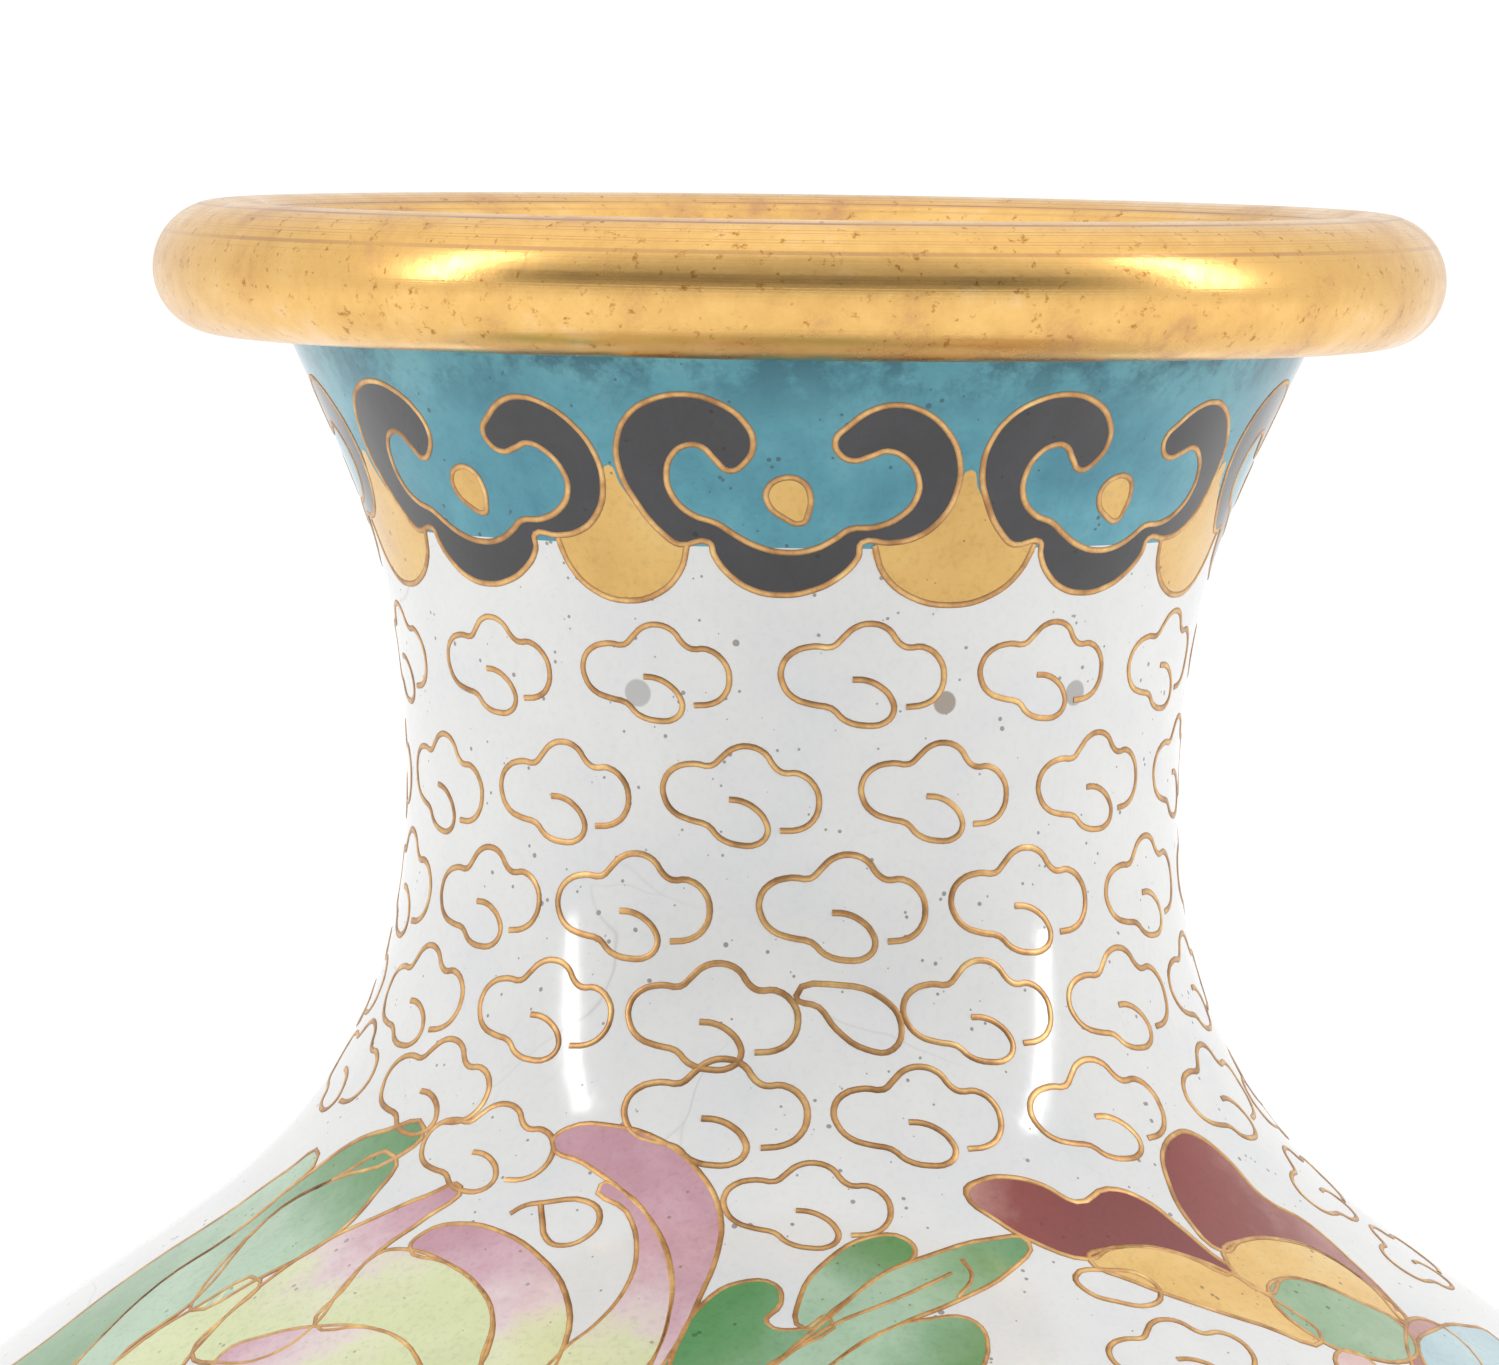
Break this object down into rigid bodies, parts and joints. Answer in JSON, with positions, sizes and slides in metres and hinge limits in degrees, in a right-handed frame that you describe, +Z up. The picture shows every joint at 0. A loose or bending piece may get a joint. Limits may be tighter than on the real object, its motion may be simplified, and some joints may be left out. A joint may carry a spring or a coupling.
{
  "type": "cloisonne vase",
  "caption": "Wide-bellied metal vase with a flared neck, polished brass rim and foot rings and enamelled cells between fine wires; holds stems or stands as an ornament.",
  "frame": {"origin": "middle of the foot ring's resting face, under the vase's axis", "axes": "+Z up along the vase's axis, -Y towards the front"},
  "size_m": [0.124, 0.1238, 0.229],
  "materials": {
    "rim_brass": "turned and polished, light scratches",
    "foot_brass": "turned, worn on the resting face",
    "wire_brass": "gilt, polished flush with the enamel",
    "copper": "spun copper, hidden under enamel",
    "solder": "silver solder",
    "lining_enamel": "thin glossy counter-enamel, turquoise",
    "turquoise_enamel": "glossy, mottled turquoise",
    "white_enamel": "glossy, white with fine grey specks",
    "black_enamel": "glossy charcoal with fine pits",
    "yellow_enamel": "glossy mustard yellow",
    "pink_enamel": "glossy dusty pink",
    "lime_enamel": "glossy pale lime",
    "green_enamel": "glossy leaf green",
    "red_enamel": "glossy brick red",
    "orange_enamel": "glossy orange yellow",
    "pale_pink_enamel": "glossy pale pink",
    "blue_enamel": "glossy blue"
  },
  "bodies": {
    "root": {"base_disc": "copper", "belly_seam_solder": "solder", "body_cloud_wires": "wire_brass", "body_lining_enamel": "lining_enamel", "butterfly_body_enamel": "pale_pink_enamel", "butterfly_lower_wing_enamel": "orange_enamel", "butterfly_upper_wing_enamel": "red_enamel", "butterfly_wires": "wire_brass", "collar_ground_enamel": "turquoise_enamel", "floor_enamel": "lining_enamel", "flower_heart_enamel": "yellow_enamel", "flower_wires": "wire_brass", "foot_band_enamel": "turquoise_enamel", "foot_band_wire": "wire_brass", "foot_petal_enamel": "blue_enamel", "foot_petal_wires": "wire_brass", "foot_ring": "foot_brass", "foot_solder": "solder", "inner_petal_enamel": "lime_enamel", "lappet_enamel": "yellow_enamel", "lappet_wires": "wire_brass", "leaf_enamel": "green_enamel", "leaf_wires": "wire_brass", "lower_body_shell": "copper", "neck_cloud_wires": "wire_brass", "neck_lining_enamel": "lining_enamel", "neck_seam_solder": "solder", "neck_shell": "copper", "outer_petal_enamel": "pink_enamel", "rim_ring": "rim_brass", "rim_solder": "solder", "ruyi_dot_enamel": "yellow_enamel", "ruyi_dot_wires": "wire_brass", "ruyi_enamel": "black_enamel", "ruyi_wires": "wire_brass", "shoulder_shell": "copper", "underside_enamel": "lining_enamel", "white_ground_enamel": "white_enamel"}
  },
  "joints": []
}
